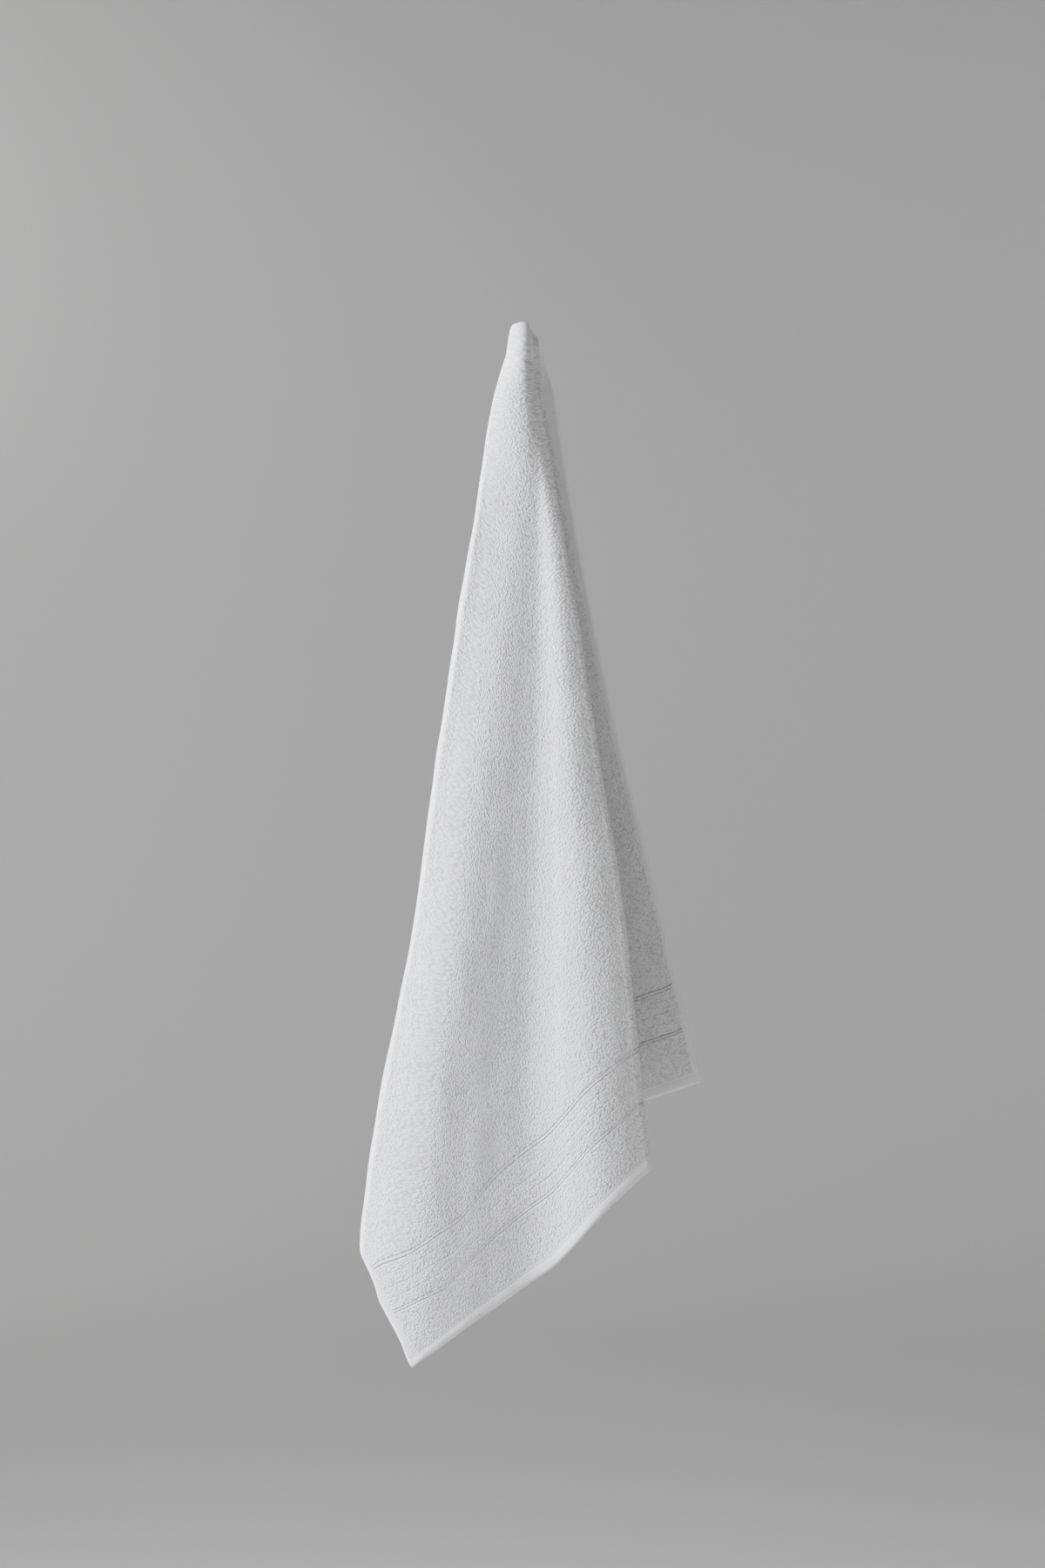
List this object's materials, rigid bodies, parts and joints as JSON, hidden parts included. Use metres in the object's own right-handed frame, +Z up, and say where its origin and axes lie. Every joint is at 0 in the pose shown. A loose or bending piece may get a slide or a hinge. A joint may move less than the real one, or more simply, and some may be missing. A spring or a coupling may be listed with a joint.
{
  "type": "bath towel on a hook",
  "caption": "White terry bath towel hung by the middle of its long edge from a plain peg hook, falling in a narrow fan of folds with a slanted front hem.",
  "frame": {"origin": "middle of the back face of the hook's plate, where it meets the wall", "axes": "+Z up along the hanging towel, +Y into the wall, so the towel hangs on the -Y side and is seen from there"},
  "size_m": [0.3179, 0.1063, 0.9526],
  "materials": {
    "terry_cotton": "white cotton terry with a looped pile and smooth woven hems",
    "hook_metal": "satin brushed steel"
  },
  "bodies": {
    "root": {"hook_plate": "hook_metal", "hook_peg": "hook_metal", "towel": "terry_cotton"}
  },
  "joints": []
}
